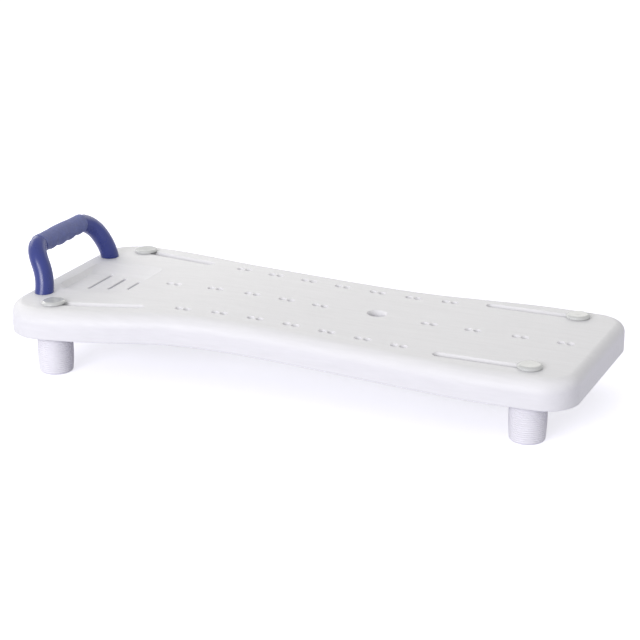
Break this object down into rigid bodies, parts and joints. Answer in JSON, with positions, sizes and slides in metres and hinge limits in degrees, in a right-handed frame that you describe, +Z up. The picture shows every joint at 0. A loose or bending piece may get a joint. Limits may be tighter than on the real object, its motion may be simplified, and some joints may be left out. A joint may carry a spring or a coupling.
{
  "type": "bath board",
  "caption": "White moulded bath board with a waisted seat, drain holes, soap dish, blue grab handle and clamping feet that slide in slots.",
  "frame": {"origin": "middle of the whole bench's outline, on the floor under the feet", "axes": "+X along the board from the handle end to the far end, +Y across it to the back, +Z up"},
  "size_m": [0.7038, 0.2968, 0.1435],
  "materials": {
    "board": "fine satin moulding",
    "cap": "glossy",
    "handle": "smooth, semi-gloss",
    "grip": "finely roughened",
    "sleeve": "matt, ribbed",
    "core": "moulded",
    "washer": "moulded",
    "steel": "stainless"
  },
  "bodies": {
    "bench": {"seat_board": "board", "grab_handle": "handle", "handle_grip": "grip", "handle_screw_front": "steel", "handle_screw_back": "steel", "handle_washer_front": "steel", "handle_washer_back": "steel"},
    "handle_end_front_carriage": {"head_cap_handle_end_front": "cap", "clamp_bolt_handle_end_front": "steel"},
    "handle_end_front_washer": {"slide_washer_handle_end_front": "washer"},
    "handle_end_front_foot": {"foot_nut_handle_end_front": "steel", "foot_core_handle_end_front": "core", "foot_sleeve_handle_end_front": "sleeve"},
    "handle_end_back_carriage": {"head_cap_handle_end_back": "cap", "clamp_bolt_handle_end_back": "steel"},
    "handle_end_back_washer": {"slide_washer_handle_end_back": "washer"},
    "handle_end_back_foot": {"foot_nut_handle_end_back": "steel", "foot_core_handle_end_back": "core", "foot_sleeve_handle_end_back": "sleeve"},
    "far_end_front_carriage": {"head_cap_far_end_front": "cap", "clamp_bolt_far_end_front": "steel"},
    "far_end_front_washer": {"slide_washer_far_end_front": "washer"},
    "far_end_front_foot": {"foot_nut_far_end_front": "steel", "foot_core_far_end_front": "core", "foot_sleeve_far_end_front": "sleeve"},
    "far_end_back_carriage": {"head_cap_far_end_back": "cap", "clamp_bolt_far_end_back": "steel"},
    "far_end_back_washer": {"slide_washer_far_end_back": "washer"},
    "far_end_back_foot": {"foot_nut_far_end_back": "steel", "foot_core_far_end_back": "core", "foot_sleeve_far_end_back": "sleeve"}
  },
  "joints": [
    {"name": "handle_end_front_slide", "type": "slide", "parent": "bench", "child": "handle_end_front_carriage", "axis": [0.9775, 0.2078, 0.0358], "range_m": [0, 0.1015]},
    {"name": "handle_end_front_washer_drop", "type": "slide", "parent": "handle_end_front_carriage", "child": "handle_end_front_washer", "axis": [0, 0, -1], "range_m": [0, 0.00375]},
    {"name": "handle_end_front_foot_turn", "type": "hinge", "parent": "handle_end_front_washer", "child": "handle_end_front_foot", "pos_m": [-0.2824, -0.1131, 0], "axis": [0, 0, -1], "range_deg": [0, 1080]},
    {"name": "handle_end_back_slide", "type": "slide", "parent": "bench", "child": "handle_end_back_carriage", "axis": [0.9775, -0.2078, 0.0358], "range_m": [0, 0.1015]},
    {"name": "handle_end_back_washer_drop", "type": "slide", "parent": "handle_end_back_carriage", "child": "handle_end_back_washer", "axis": [0, 0, -1], "range_m": [0, 0.00375]},
    {"name": "handle_end_back_foot_turn", "type": "hinge", "parent": "handle_end_back_washer", "child": "handle_end_back_foot", "pos_m": [-0.2824, 0.1131, 0], "axis": [0, 0, -1], "range_deg": [0, 1080]},
    {"name": "far_end_front_slide", "type": "slide", "parent": "bench", "child": "far_end_front_carriage", "axis": [-1, 0, 0], "range_m": [0, 0.1015]},
    {"name": "far_end_front_washer_drop", "type": "slide", "parent": "far_end_front_carriage", "child": "far_end_front_washer", "axis": [0, 0, -1], "range_m": [0, 0.00375]},
    {"name": "far_end_front_foot_turn", "type": "hinge", "parent": "far_end_front_washer", "child": "far_end_front_foot", "pos_m": [0.2959, -0.0902, 0], "axis": [0, 0, -1], "range_deg": [0, 1080]},
    {"name": "far_end_back_slide", "type": "slide", "parent": "bench", "child": "far_end_back_carriage", "axis": [-1, 0, 0], "range_m": [0, 0.1015]},
    {"name": "far_end_back_washer_drop", "type": "slide", "parent": "far_end_back_carriage", "child": "far_end_back_washer", "axis": [0, 0, -1], "range_m": [0, 0.00375]},
    {"name": "far_end_back_foot_turn", "type": "hinge", "parent": "far_end_back_washer", "child": "far_end_back_foot", "pos_m": [0.2959, 0.0902, 0], "axis": [0, 0, -1], "range_deg": [0, 1080]}
  ],
  "couplings": [
    {"joint": "handle_end_front_washer_drop", "follows": "handle_end_front_foot_turn", "m_per_rad": 0.00019894},
    {"joint": "handle_end_back_washer_drop", "follows": "handle_end_back_foot_turn", "m_per_rad": 0.00019894},
    {"joint": "far_end_front_washer_drop", "follows": "far_end_front_foot_turn", "m_per_rad": 0.00019894},
    {"joint": "far_end_back_washer_drop", "follows": "far_end_back_foot_turn", "m_per_rad": 0.00019894}
  ]
}
